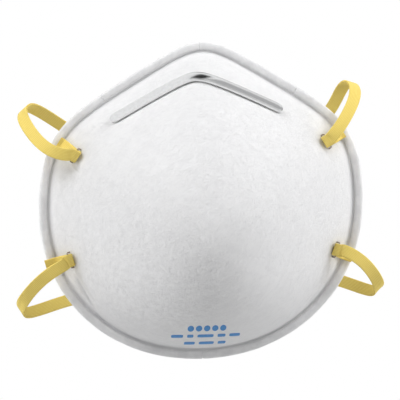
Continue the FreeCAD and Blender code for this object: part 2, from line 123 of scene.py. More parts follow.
def mesh_object(name: str, points: Array, faces: list, uv: Array | None = None,
                smooth_angle: float | None = None) -> Object:
    """Mesh object from points and faces, with its place in its mesh.

    Args:
        name: object name.
        points: array (n, 3) in metres.
        faces: faces as lists of point numbers.
        uv: one (u, v) pair for each point, in metres along and across, or None.
        smooth_angle: edges sharper than this many degrees stay sharp, or None for all smooth.

    Returns:
        The linked object, at the origin.
    """
    mesh = bpy.data.meshes.new(name)
    mesh.from_pydata(np.asarray(points, float).tolist(), [], [list(map(int, f)) for f in faces])
    mesh.validate()
    mesh.polygons.foreach_set("use_smooth", np.ones(len(mesh.polygons), bool))
    if uv is not None:
        layer = mesh.uv_layers.new(name="along_across")
        index = np.empty(len(mesh.loops), np.int32)
        mesh.loops.foreach_get("vertex_index", index)
        layer.data.foreach_set("uv", np.asarray(uv, float)[index].ravel())
    mesh.update()
    obj = bpy.data.objects.new(name, mesh)
    bpy.context.scene.collection.objects.link(obj)
    if smooth_angle is not None:
        mesh.set_sharp_from_angle(angle=math.radians(smooth_angle))
    return obj


def ring_shell(name: str, outside: Array, inside: Array) -> Object:
    """Closed shell between two skins that are closed around and end in a pole.

    The outer skin's rows run from the edge to the pole. The inner skin has the same rows, faces the other way
    and is joined to the outer skin by a rim along the first row.

    Args:
        name: object name.
        outside: array (rows, columns, 3), the last row one repeated point.
        inside: the same for the inner skin.

    Returns:
        The shell as an object.
    """
    rows, columns = outside.shape[:2]
    ring = rows - 1
    points = np.concatenate([outside[:ring].reshape(-1, 3), outside[ring:, 0], inside[:ring].reshape(-1, 3),
                             inside[ring:, 0]])
    skin = grid_faces(ring, columns, False, True)
    j = np.arange(columns)
    j2 = (j + 1) % columns
    top = (ring - 1) * columns
    cap = np.stack([top + j, top + j2, np.full(columns, ring * columns)], -1)
    shift = ring * columns + 1
    rim = np.stack([j2, j, shift + j, shift + j2], -1)
    faces = skin.tolist() + cap.tolist() + (skin[:, ::-1] + shift).tolist() + (cap[:, ::-1] + shift).tolist()
    return outward(mesh_object(name, points, faces + rim.tolist()))


def tube_of_sections(name: str, sections: Array, uv: Array | None = None,
                     closed_path: bool = False, smooth_angle: float | None = None) -> Object:
    """Skin through closed sections carried along a path, with both ends capped when the path is open.

    Args:
        name: object name.
        sections: array (stations, points round the section, 3).
        uv: array (stations, points round the section, 2) or None.
        closed_path: whether the last section joins the first.
        smooth_angle: edges sharper than this many degrees stay sharp, or None.

    Returns:
        The object.
    """
    stations, around = sections.shape[:2]
    faces = grid_faces(stations, around, closed_path, True).tolist()
    if not closed_path:
        faces.append(list(range(around)))
        faces.append([(stations - 1) * around + k for k in reversed(range(around))])
    flat_uv = None if uv is None else uv.reshape(-1, 2)
    return outward(mesh_object(name, sections.reshape(-1, 3), faces, flat_uv, smooth_angle))


def outward(obj: Object) -> Object:
    """Turns a closed mesh's faces outwards, which the sign of its volume tells (sum of corner triple products)."""
    mesh = obj.data
    mesh.calc_loop_triangles()
    points = np.empty(len(mesh.vertices) * 3)
    mesh.vertices.foreach_get("co", points)
    corners = np.empty(len(mesh.loop_triangles) * 3, np.int32)
    mesh.loop_triangles.foreach_get("vertices", corners)
    a, b, c = points.reshape(-1, 3)[corners.reshape(-1, 3)].transpose(1, 0, 2)
    if np.einsum("ij,ij->", a, np.cross(b, c)) < 0:
        mesh.flip_normals()
    return obj


# ---------------------------------------------------------------- the mask's form
@dataclass
class Corner:
    """Where one strap end is stapled: angles in degrees, lengths in metres."""

    angle: float
    inset: float
    tail_slope: float
    tail_length: float
    side: int


@dataclass
class CupForm:
    """Outline of the bound edge and surface of the moulded cup, as the frame's own solids have them.

    Slopes are in degrees, lengths in metres, angles round the edge in radians from +X towards +Z.
    """

    half_width: float = 65.8 * MM
    chin_drop: float = 63.0 * MM
    side_rise: float = 80.0 * MM
    jaw_fullness: float = 2.09
    flank_distance: float = 60.0 * MM
    flank_slope: float = 30.5
    corner_sharpness: float = 12.0
    lean: float = 0.029
    cup_depth: float = 50.0 * MM
    crown_drop: float = 13.0 * MM
    foot_inset: float = 4.4 * MM
    crown_half_width: float = 61.8 * MM
    crown_half_height: float = 58.0 * MM
    side_fullness: float = 1.15
    chin_fullness: float = 1.95
    nose_fullness: float = 1.35
    edge_stack: float = 1.19 * MM
    layer_edge_inset: float = 0.82 * MM
    flange_shares: tuple = (0.0, 0.45, 0.88, 1.0)
    cup_rises: tuple = (0.10, 0.2, 0.33, 0.48, 0.64, 0.80, 0.93)
    full_thickness_rise: float = 0.33
    step: float = TAU / 48
    tangent_step: float = 0.0087
    search_grid: tuple = (720, 281)
    search_batch: int = 64
    corners: dict = field(default_factory=lambda: {
        "upper_left": Corner(158.5, 11.3 * MM, 43.0, 9.0 * MM, -1),
        "upper_right": Corner(25.3, 11.3 * MM, 26.0, 9.2 * MM, 1),
        "lower_left": Corner(202.0, 9.0 * MM, -12.0, 10.5 * MM, -1),
        "lower_right": Corner(339.3, 9.0 * MM, -22.7, 8.7 * MM, 1)})

    def leaned(self, points: Array) -> Array:
        """Points after the mask's slight sideways lean."""
        moved = points.copy()
        moved[..., 0] += self.lean * moved[..., 2]
        return moved

    def edge_radius(self, a: Array) -> Array:
        """Edge's distance from the centre at angles in radians, before the lean: a superellipse and two flanks."""
        c, s = np.abs(np.cos(a)), np.sin(a)
        height = np.where(s > 0, self.side_rise, self.chin_drop)
        power = np.where(s > 0, 2.0, self.jaw_fullness)
        oval = ((c / self.half_width) ** power + (np.abs(s) / height) ** power) ** (1 / power)
        total = oval ** self.corner_sharpness
        for flank in (90 - self.flank_slope, 90 + self.flank_slope):
            reach = np.maximum(np.cos(a - math.radians(flank)), 0.0)
            total = total + (reach / self.flank_distance) ** self.corner_sharpness
        return total ** (-1 / self.corner_sharpness)

    def edge_point(self, a: Array, inset: float, y: float) -> Array:
        """Points inset square to the outline, towards the inside."""
        def at(b: Array) -> Array:
            """Point of the outline itself."""
            out = np.stack([np.cos(b), np.zeros_like(b), np.sin(b)], -1)
            return self.leaned(out * self.edge_radius(b)[..., None])
        along = unit(at(a + self.tangent_step) - at(a - self.tangent_step))
        inward = np.stack([-along[..., 2], np.zeros_like(a), along[..., 0]], -1)
        return at(a) + inward * inset + np.array([0, y, 0])

    def cup_point(self, a: Array, rise: float) -> Array:
        """Outer surface of the cup: superellipse profiles from the wall's foot (0) to the crown (1)."""
        up = np.sin(a)
        ahead = np.where(up > 0, self.nose_fullness, self.chin_fullness)
        fullness = self.side_fullness + (ahead - self.side_fullness) * np.abs(up) ** 3
        power = fullness * (1 - rise ** 2) + 2.0 * rise ** 2
        share = math.cos(rise * math.pi / 2) ** (2 / power)
        height = math.sin(rise * math.pi / 2) ** (2 / power)
        foot = self.edge_radius(a) - self.foot_inset
        rounder = 1 / np.hypot(np.cos(a) / self.crown_half_width, up / self.crown_half_height)
        blend = rise * rise * (3 - 2 * rise)
        radius = (foot + (rounder - foot) * blend) * share
        centre = -self.crown_drop * (1 - share)
        return self.leaned(np.stack([radius * np.cos(a), -self.edge_stack / 2 - self.cup_depth * height,
                                     centre + radius * up], -1))

    def rows(self, a: Array) -> Array:
        """Control rows of the outermost surface, from the edge to the crown, at the given angles."""
        front = -self.edge_stack / 2
        edge = self.edge_point(a, self.layer_edge_inset, front)
        foot = self.cup_point(a, 0.0)
        rows = [edge + (foot - edge) * share for share in self.flange_shares]
        rows += [self.cup_point(a, rise) for rise in self.cup_rises]
        rows[-1][..., 1] = front - self.cup_depth
        crown = self.leaned(np.array([0, front - self.cup_depth, -self.crown_drop]))
        crown = np.broadcast_to(crown, rows[0].shape)
        return np.stack(rows + [crown])

    def surface(self, a: Array, v: Array, edge_depth: float = 0.0, cup_depth: float = 0.0) -> Array:
        """Cup surface, or one that lies a depth inside it.

        The control rows are pushed inwards along their normals and blended with cubic B-spline weights.

        Args:
            a: angles in radians.
            v: parameters across the rows, 0 at the edge and 9 at the crown.
            edge_depth: depth below the front face where the layers are pressed flat.
            cup_depth: depth below the outer surface in the cup.

        Returns:
            Array (len(v), len(a), 3).
        """
        rows = self.rows(a)
        along = self.rows(a + self.step) - self.rows(a - self.step)
        across = np.zeros_like(rows)
        across[1:-1] = rows[2:] - rows[:-2]
        normals = unit(np.cross(along, across))
        normals[:3] = normals[-2:] = np.array([0.0, -1.0, 0.0])
        shares = [min(1.0, rise / self.full_thickness_rise) for rise in self.cup_rises]
        shares = np.array([0.0] * len(self.flange_shares) + shares + [1.0])
        depths = edge_depth + (cup_depth - edge_depth) * shares
        rows = rows - normals * depths[:, None, None]
        return np.einsum("vr,rap->vap", clamped_basis(len(rows), v), rows)

    def seat(self, x: Array, z: Array, edge_depth: float = 0.0,
             cup_depth: float = 0.0) -> tuple[Array, Array]:
        """Points and outward normals of the cup surface where it lies over given x and z.

        A fine grid of the surface is searched for the nearest point in x and z, and y follows that point's
        tangent plane from there.

        Args:
            x: across, in metres.
            z: up, in metres.
            edge_depth: as in surface.
            cup_depth: as in surface.

        Returns:
            Points and unit normals, each (..., 3).
        """
        shape = x.shape
        x, z = x.ravel(), z.ravel()
        around, rows = self.search_grid
        grid = self.surface(np.linspace(0, TAU, around, endpoint=False), np.linspace(2.0, 9.0, rows), edge_depth,
                            cup_depth)
        along = np.roll(grid, -1, 1) - np.roll(grid, 1, 1)
        normal = unit(np.cross(along, np.gradient(grid, axis=0))).reshape(-1, 3)
        flat = grid.reshape(-1, 3)
        points, normals = np.empty((2, len(x), 3))
        for start in range(0, len(x), self.search_batch):
            part = slice(start, start + self.search_batch)
            near = np.argmin((flat[:, 0] - x[part, None]) ** 2 + (flat[:, 2] - z[part, None]) ** 2, 1)
            n, p = normal[near], flat[near]
            y = p[:, 1] - ((x[part] - p[:, 0]) * n[:, 0] + (z[part] - p[:, 2]) * n[:, 2]) / n[:, 1]
            points[part] = np.stack([x[part], y, z[part]], -1)
            normals[part] = n
        return points.reshape(*shape, 3), normals.reshape(*shape, 3)


# ---------------------------------------------------------------- shader building
class Nodes:
    """Short hand for adding and joining nodes in a material or a node group."""

    def __init__(self, tree: NodeTree) -> None:
        """Empties the tree to build in."""
        self.tree = tree
        tree.nodes.clear()

    def put(self, socket: NodeSocket, value: object) -> None:
        """Joins a socket to another socket, or sets its value."""
        if isinstance(value, NodeSocket):
            self.tree.links.new(value, socket)
        else:
            socket.default_value = value

    def add(self, kind: str, inputs: dict | None = None, **settings: object) -> Node:
        """Adds a node.

        Args:
            kind: node type name without its ShaderNode prefix.
            inputs: socket name or number to a value, or to a socket to join.
            settings: properties of the node.

        Returns:
            The node.
        """
        node = self.tree.nodes.new("ShaderNode" + kind)
        for key, value in settings.items():
            setattr(node, key, value)
        for key, value in (inputs or {}).items():
            self.put(node.inputs[key], value)
        return node

    def math(self, operation: str, first: object, second: object = 0.0, clamp: bool = False) -> NodeSocket:
        """Adds a Math node and returns its value."""
        return self.add("Math", {0: first, 1: second}, operation=operation, use_clamp=clamp).outputs[0]

    def times(self, first: object, second: object) -> NodeSocket:
        """Product of two values."""
        return self.math("MULTIPLY", first, second)

    def plus(self, first: object, second: object) -> NodeSocket:
        """Sum of two values."""
        return self.math("ADD", first, second)

    def scaled(self, vector: NodeSocket, factors: tuple) -> NodeSocket:
        """Vector times a factor on each axis."""
        return self.add("VectorMath", {0: vector, 1: factors}, operation="MULTIPLY").outputs[0]

    def turned(self, vector: NodeSocket, angles: tuple) -> NodeSocket:
        """Vector turned by three angles in radians."""
        return self.add("VectorRotate", {"Vector": vector, "Rotation": angles}, rotation_type="EULER_XYZ").outputs[0]

    def noise(self, vector: NodeSocket, scale: object, detail: float, **more: float) -> Node:
        """Noise texture; more sets its other sockets."""
        inputs = {"Vector": vector, "Scale": scale, "Detail": detail}
        return self.add("TexNoise", inputs | {key.capitalize(): value for key, value in more.items()})

    def mix(self, factor: object, first: object, second: object) -> NodeSocket:
        """Adds a colour mix and returns its colour."""
        return self.add("Mix", {"Factor": factor, 6: first, 7: second}, data_type="RGBA").outputs[2]

    def blend(self, factor: NodeSocket, first: Node, second: Node) -> Node:
        """Mixes two shaders by a factor."""
        return self.add("MixShader", {0: factor, 1: first.outputs[0], 2: second.outputs[0]})

    def ramp(self, factor: NodeSocket, low: float, high: float) -> NodeSocket:
        """Maps low..high to 0..1 smoothly and returns the value."""
        ends = {"Value": factor, "From Min": low, "From Max": high}
        return self.add("MapRange", ends, interpolation_type="SMOOTHSTEP").outputs[0]

    def finish(self, shader: Node, kind: str = "OutputMaterial") -> None:
        """Joins a shader to the output."""
        self.add(kind, {0: shader.outputs[0]})


def new_group(name: str, inputs: dict, outputs: tuple) -> tuple[Nodes, Node, Node]:
    """Makes an empty shader node group.

    Args:
        name: group name.
        inputs: socket name to its default value, or to None for a vector.
        outputs: names of the values that it gives.

    Returns:
        A builder for the group, its input node and its output node.
    """
    group = bpy.data.node_groups.new(name, "ShaderNodeTree")
    for key, value in inputs.items():
        kind = "NodeSocketVector" if value is None else "NodeSocketFloat"
        socket = group.interface.new_socket(key, in_out="INPUT", socket_type=kind)
        if value is not None:
            socket.default_value = value
    for key in outputs:
        group.interface.new_socket(key, in_out="OUTPUT", socket_type="NodeSocketFloat")
    build = Nodes(group)
    return build, group.nodes.new("NodeGroupInput"), group.nodes.new("NodeGroupOutput")


def fibre_group() -> NodeTree:
    """Matted fibres: three ridged noises stretched in turned directions, tufts, and soft clumps under them."""
    build, given, result = new_group(
        "matted_fibres", {"Coordinates": None, "Fibre Width": 0.25 * MM, "Clump Size": 6.0 * MM}, ("Height", "Clumps"))
    where, width, size = given.outputs[:3]
    scale = build.math("DIVIDE", 1.0, width)
    warp = build.noise(where, 300.0, 2.0).outputs["Color"]
    curled = build.add("VectorMath", {0: where, 1: build.scaled(warp, (2.2 * MM,) * 3)}, operation="ADD").outputs[0]
    strands = None
    for turn in ((0.3, 0.2, 0.1), (0.9, 1.3, 1.2), (2.0, 0.4, 2.3)):
        drawn = build.scaled(build.turned(curled, turn), (0.09, 1.0, 1.0))
        noise = build.noise(drawn, scale, 1.0).outputs["Fac"]
        middle = build.math("ABSOLUTE", build.math("SUBTRACT", noise, 0.5))
        ridge = build.math("SUBTRACT", 1.0, build.times(middle, 7.0), clamp=True)
        strands = ridge if strands is None else build.math("MAXIMUM", strands, ridge)
    clump_scale = build.math("DIVIDE", 1.0, size)
    clumps = build.noise(where, clump_scale, 3.0, roughness=0.55).outputs["Fac"]
    swept = build.scaled(build.turned(curled, (0.2, 0.5, 0.3)), (0.42, 1.0, 1.0))
    tufts = build.noise(swept, build.times(clump_scale, 4.2), 2.0, roughness=0.6, distortion=0.6).outputs["Fac"]
    soft = build.plus(build.times(tufts, 0.45), build.times(clumps, 0.25))
    build.put(result.inputs["Height"], build.plus(build.times(strands, 0.28), soft))
    build.put(result.inputs["Clumps"], clumps)
    return build.tree


def elastic_group() -> NodeTree:
    """Woven elastic: covered rubber threads along the strip and fine crossing yarns, from its own map."""
    build, given, result = new_group(
        "woven_elastic", {"Map": None, "Thread Pitch": 0.56 * MM, "Yarn Pitch": 0.30 * MM}, ("Height", "Shade"))
    where, thread, yarn = given.outputs[:3]
    parts = build.add("SeparateXYZ", {0: where})
    across = build.times(build.math("DIVIDE", parts.outputs[1], thread), TAU)
    along = build.times(build.math("DIVIDE", parts.outputs[0], yarn), TAU)
    yarns = build.times(build.math("SINE", along), build.math("SINE", build.times(across, 0.5)))
    height = build.plus(build.times(build.math("COSINE", across), 0.45), build.times(yarns, 0.3))
    rough = build.plus(height, build.times(build.noise(where, 900.0, 2.0).outputs["Fac"], 0.35))
    build.put(result.inputs["Height"], rough)
    build.put(result.inputs["Shade"], build.ramp(rough, -0.6, 0.9))
    return build.tree


class Effects:
    """The shared shader groups, each built once."""

    def __init__(self) -> None:
        """Builds the groups."""
        self.fibres = fibre_group()
        self.elastic = elastic_group()


class Space(Enum):
    """Where a material's pattern lies."""

    OBJECT = "Object"
    UV = "UV"


def new_material(name: str) -> tuple[Material, Nodes]:
    """Empty node material and a builder for it."""
    material = bpy.data.materials.new(name)
    material.use_nodes = True
    return material, Nodes(material.node_tree)


@dataclass(frozen=True)
class Finish:
    """Two tones mixed by a pattern that also raises the surface, and the shader's constants."""

    name: str
    colour: tuple
    shadow: tuple
    relief: float
    roughness: float
    strength: float = 1.0
    sheen: float = 0.0
    specular: float = 0.5
    metallic: float = 0.0
    space: Space = Space.OBJECT

    def pattern(self, build: Nodes, where: NodeSocket, effects: Effects) -> dict:
        """Builds the pattern.

        Args:
            build: builder of the material.
            where: coordinates of the pattern.
            effects: shared groups.

        Returns:
            Its tone from shadow (0) to colour (1), its height, and its roughness where that varies.
        """
        raise NotImplementedError

    def toned(self, build: Nodes, where: NodeSocket, tone: NodeSocket) -> NodeSocket:
        """Colour for a tone from shadow (0) to colour (1)."""
        return build.mix(tone, (*self.shadow, 1), (*self.colour, 1))

    def make(self, effects: Effects) -> Material:
        """Builds the material."""
        material, build = new_material(self.name)
        where = build.add("TexCoord").outputs[self.space.value]
        look = self.pattern(build, where, effects)
        bump = build.add("Bump", {"Height": look["height"], "Strength": self.strength, "Distance": self.relief})
        build.finish(build.add("BsdfPrincipled", {
            "Base Color": self.toned(build, where, look["tone"]), "Normal": bump.outputs[0],
            "Roughness": look.get("roughness", self.roughness), "Metallic": self.metallic,
            "Sheen Weight": self.sheen, "Specular IOR Level": self.specular}))
        return material


@dataclass(frozen=True)
class FeltFinish(Finish):
    """Matted nonwoven: fibres that raise its surface over clumps, or clumps alone on a smoother sheet."""

    relief: float = 0.34 * MM
    roughness: float = 0.95
    sheen: float = 0.15
    specular: float = 0.2
    fibre_width: float = 0.36 * MM
    clump_size: float = 6.5 * MM
    shown: str = "Height"
    tones: tuple = (0.3, 0.75)
    # pressed darkens the colour near the edge plane: painted shade of the groove by the binding, together with the
    # greyer felt pressed flat there
    pressed: float = 1.0
    pressed_shade_depth: tuple = (1.1 * MM, 2.6 * MM)

    def pattern(self, build: Nodes, where: NodeSocket, effects: Effects) -> dict:
        """Fibre height and the tone of what is shown."""
        fibres = build.add("Group", node_tree=effects.fibres)
        for key, value in zip(("Coordinates", "Fibre Width", "Clump Size"), (where, self.fibre_width, self.clump_size)):
            build.put(fibres.inputs[key], value)
        return {"tone": build.ramp(fibres.outputs[self.shown], *self.tones), "height": fibres.outputs["Height"]}

    def toned(self, build: Nodes, where: NodeSocket, tone: NodeSocket) -> NodeSocket:
        """Colour for a tone, darker near the edge plane: painted shade of the groove by the binding, together with the
        felt pressed flat there.
        """
        colour = super().toned(build, where, tone)
        if self.pressed == 1:
            return colour
        # Painted shade: near the edge plane the colour turns to the darker tone times pressed, standing for the
        # groove's shadow and the pressed felt
        depth = build.times(build.add("SeparateXYZ", {0: where}).outputs[1], -1.0)
        flat = tuple(c * self.pressed for c in self.shadow) + (1,)
        return build.mix(build.ramp(depth, *self.pressed_shade_depth), flat, colour)


@dataclass(frozen=True)
class ElasticFinish(Finish):
    """Woven elastic with covered rubber threads."""

    def pattern(self, build: Nodes, where: NodeSocket, effects: Effects) -> dict:
        """Threads and yarns."""
        weave = build.add("Group", node_tree=effects.elastic)
        build.put(weave.inputs["Map"], where)
        return {"tone": weave.outputs["Shade"], "height": weave.outputs["Height"]}


@dataclass(frozen=True)
class ClipFinish(Finish):
    """Rolled aluminium strip: fine lines along it and faint handling marks."""

    def pattern(self, build: Nodes, where: NodeSocket, effects: Effects) -> dict:
        """Drawing lines, and marks in the tone."""
        lines = build.noise(build.scaled(where, (60.0, 9000.0, 1.0)), 1.0, 2.0).outputs["Fac"]
        marks = build.noise(where, 700.0, 2.0).outputs["Fac"]
        roughness = build.plus(self.roughness, build.times(lines, 0.14))
        return {"tone": build.ramp(marks, 0.35, 0.65), "height": lines, "roughness": roughness}


@dataclass(frozen=True)
class GrainFinish(Finish):
    """A plain finish with fine grain: foam, wire, bond or printed ink."""

    strength: float = 0.8
    grain: float = 0.4 * MM

    def pattern(self, build: Nodes, where: NodeSocket, effects: Effects) -> dict:
        """Cells, and soft noise in the tone."""
        cells = build.add("TexVoronoi", {"Vector": where, "Scale": 1 / self.grain}).outputs["Distance"]
        noise = build.noise(where, 0.35 / self.grain, 3.0).outputs["Fac"]
        return {"tone": build.ramp(build.plus(cells, noise), 0.5, 1.3), "height": cells}


class Palette:
    """Every finish of the mask, built once."""

    def __init__(self) -> None:
        """Builds the shared effects and the materials."""
        effects = Effects()
        # pressed=0.96 paints the shade of the groove by the binding onto the cover, together with its pressed felt
        self.cover = FeltFinish("cover_felt", (0.88, 0.88, 0.885), (0.80, 0.80, 0.81), pressed=0.96).make(effects)
        self.shell = FeltFinish("shell_felt", (0.84, 0.84, 0.83), (0.74, 0.74, 0.73), 0.06 * MM).make(effects)
        self.web = FeltFinish("filter_media", (0.88, 0.88, 0.88), (0.82, 0.82, 0.82), 0.03 * MM).make(effects)
        self.binding = FeltFinish(
            "edge_binding", (0.86, 0.86, 0.865), (0.77, 0.77, 0.78), 0.05 * MM, roughness=0.8, strength=0.7, sheen=0.1,
            specular=0.5, fibre_width=0.16 * MM, clump_size=4.0 * MM, shown="Clumps", tones=(0.3, 0.7)).make(effects)
        self.elastic = ElasticFinish("strap_elastic", (0.91, 0.74, 0.23), (0.78, 0.57, 0.11), 0.06 * MM, roughness=0.7,
                                     strength=0.8, sheen=0.08, specular=0.12, space=Space.UV).make(effects)
        self.clip = ClipFinish("clip_metal", (0.77, 0.775, 0.78), (0.7392, 0.744, 0.7488), 0.006 * MM, roughness=0.12,
                               strength=0.15, metallic=1.0, space=Space.UV).make(effects)
        self.foam = GrainFinish("nose_foam", (0.42, 0.43, 0.44), (0.24, 0.25, 0.26), 0.12 * MM, 0.95,
                                grain=0.5 * MM).make(effects)
        self.wire = GrainFinish("staple_wire", (0.42, 0.36, 0.30), (0.20, 0.16, 0.13), 0.004 * MM, 0.35,
                                metallic=1.0, grain=0.3 * MM).make(effects)
        self.bond = GrainFinish("clip_bond", (0.80, 0.79, 0.74), (0.70, 0.69, 0.64), 0.01 * MM, 0.4,
                                grain=0.6 * MM).make(effects)
        self.ink = GrainFinish("mark_ink", (0.10, 0.30, 0.62), (0.07, 0.22, 0.50), 0.01 * MM, 0.85,
                               grain=0.25 * MM).make(effects)


def dress(obj: Object, material: Material) -> None:
    """Gives a piece its only material."""
    obj.data.materials.clear()
    obj.data.materials.append(material)


# ---------------------------------------------------------------- sub-assemblies
@dataclass
class Cup:
    """The moulded cup: needled cover made here, filter web and inner shell dressed as they are.

    A crease is its two ends (x, z), half width and depth in millimetres; staple_press is a radius and a depth in
    millimetres; fine_spans are the degrees round the edge that the creases lie in.
    """

    form: CupForm
    palette: Palette
    around: int = 300
    cover_edge: float = 0.40 * MM
    cover_cup: float = 1.0 * MM
    creases: tuple = (
        ((-50.9, 16.4), (-49.4, 13.6), 0.8, 1.1),
        ((-52.4, -26.2), (-41.6, -46.0), 0.75, 1.35))
    staple_press: tuple = (3.4, 0.35)
    fine_spans: tuple = ((160, 166), (203, 231))
    fine_step: float = 0.3
    row_runs: tuple = ((0, 1, 5), (1, 4, 49), (4, 9, 45))

    def pressed(self, points: Array, around: list) -> Array:
        """The cover's outside with its handling creases and the felt drawn in round each staple.

        A crease is a straight groove of bell section that fades towards both ends, and a staple's dip is a bell.

        Args:
            points: (rows, stations, 3) outside points.
            around: (x, z) of the staples, in metres.

        Returns:
            Moved points.
        """
        flat = points[..., ::2] / MM
        moved = points.copy()
        for first, last, width, depth in self.creases:
            line = np.subtract(last, first)
            share = np.clip(((flat - first) @ line) / (line @ line), 0, 1)
            off = np.linalg.norm(flat - (first + share[..., None] * line), axis=-1)
            fade = 0.25 + 0.75 * np.sin(math.pi * np.clip(share, 0.02, 0.98)) ** 0.6
            moved[..., 1] += depth * MM * fade * np.exp(-(off / width) ** 2)
        radius, depth = self.staple_press
        for place in around:
            off = np.linalg.norm(flat - np.array(place) / MM, axis=-1)
            moved[..., 1] += depth * MM * np.exp(-(off / radius) ** 2)
        return moved

    def build(self, staples: list) -> None:
        """Makes the cover and dresses the inner layers."""
        a = np.linspace(0, TAU, self.around, endpoint=False)
        for low, high in self.fine_spans:
            a = np.unique(np.round(np.concatenate([a, np.radians(np.arange(low, high, self.fine_step))]), 6))
        runs = [np.linspace(low, high, count, endpoint=False) for low, high, count in self.row_runs]
        v = np.concatenate([*runs, [9]])
        outside = self.pressed(self.form.surface(a, v), staples)
        inside = self.form.surface(a, v, self.cover_edge, self.cover_cup)
        cover = ring_shell("needled_cover", outside, inside)
        dress(cover, self.palette.cover)
        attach(cover, "mask")
        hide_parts("outer_cover")
        dress(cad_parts["inner_shell"], self.palette.shell)
        dress(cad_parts["filter_web"], self.palette.web)
        log.info("cup: cover of %d faces, filter web and inner shell dressed", len(cover.data.polygons))


@dataclass
class Binding:
    """Soft U-section binding round the edge, with the weld ticks and the lap seam at the chin.

    Ticks are degrees round the edge; lap is its distance past the last tick, width and height; a wave is how many
    there are round the edge, its phase and its height.
    """

    form: CupForm
    palette: Palette
    width: float = 3.4 * MM
    half_thickness: float = 1.435 * MM
    half_slot: float = 0.715 * MM
    end_wall: float = 0.7 * MM
    ticks: tuple = (91.2, 132.9, 49.8, 270.6)
    tick_width: float = 0.28 * MM
    tick_depth: float = 0.32 * MM
    section_powers: tuple = (0.75, 0.6)
    skin_share: float = 0.85
    inset_share: float = 0.6
    lap: tuple = (3.0 * MM, 2.0 * MM, 0.12 * MM)
    waves: tuple = ((19, 0.0, 0.03 * MM), (31, 1.0, 0.03 * MM), (53, 2.4, 0.021 * MM))

    def section(self) -> Array:
        """Section as (inset from the edge, y): a rounded outside and a square slot, front lip to back lip."""
        turn = np.linspace(-math.pi, math.pi, 49)[6:-6]
        c, s = rounded(turn, *self.section_powers)
        outside = np.stack([self.width / 2 * (1 - c), self.half_thickness * s], -1)
        slot = np.array([(self.width, self.half_slot), (self.end_wall, self.half_slot),
                         (self.end_wall, -self.half_slot), (self.width, -self.half_slot)])
        return np.concatenate([outside, slot])

    def angles(self) -> Array:
        """Stations round the edge, even ones and close ones at each tick."""
        close = [math.radians(t) + np.linspace(-3, 3, 15) * self.tick_width / self.form.half_width for t in self.ticks]
        return np.unique(np.concatenate([np.linspace(0, TAU, 480, endpoint=False)] + close) % TAU)

    def relief(self, a: Array) -> Array:
        """How far the outside lies in: a dip at each tick, less the swell of the lap seam and slow waves."""
        def off(tick: float) -> Array:
            """Distance round the edge from a tick."""
            return ((a - math.radians(tick) + math.pi) % TAU - math.pi) * self.form.half_width
        place, width, height = self.lap
        dip = self.tick_depth * sum(np.exp(-(off(tick) / self.tick_width) ** 2) for tick in self.ticks)
        swell = height * np.exp(-((off(self.ticks[-1]) - place) / width) ** 2)
        return dip - swell - sum(size * np.sin(count * a + start) for count, start, size in self.waves)

    def build(self) -> None:
        """Makes the binding: its section carried round the edge, its skin drawn towards the middle by the relief.

        The skin is what lies further out than skin_share; its front half moves in from the edge by inset_share of that.
        """
        a = self.angles()
        half = self.width / 2
        base = self.form.edge_point(a, 0.0, 0.0)
        inner = self.form.edge_point(a, 1.0, 0.0) - base
        relief = self.relief(a)[:, None] / self.half_thickness
        inset, y = self.section().T
        away = inset - half
        shrink = relief * (np.hypot(away / half, y / self.half_thickness) > self.skin_share)
        moved = inset - np.where(inset < half, away * shrink * self.inset_share, 0)
        sections = base[:, None] + inner[:, None] * moved[..., None]
        sections[..., 1] = y - y * shrink
        band = tube_of_sections("edge_binding", sections, closed_path=True, smooth_angle=50)
        dress(band, self.palette.binding)
        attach(band, "mask")
        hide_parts("edge_band")
        log.info("binding: %d stations with %d weld ticks", len(a), len(self.ticks))


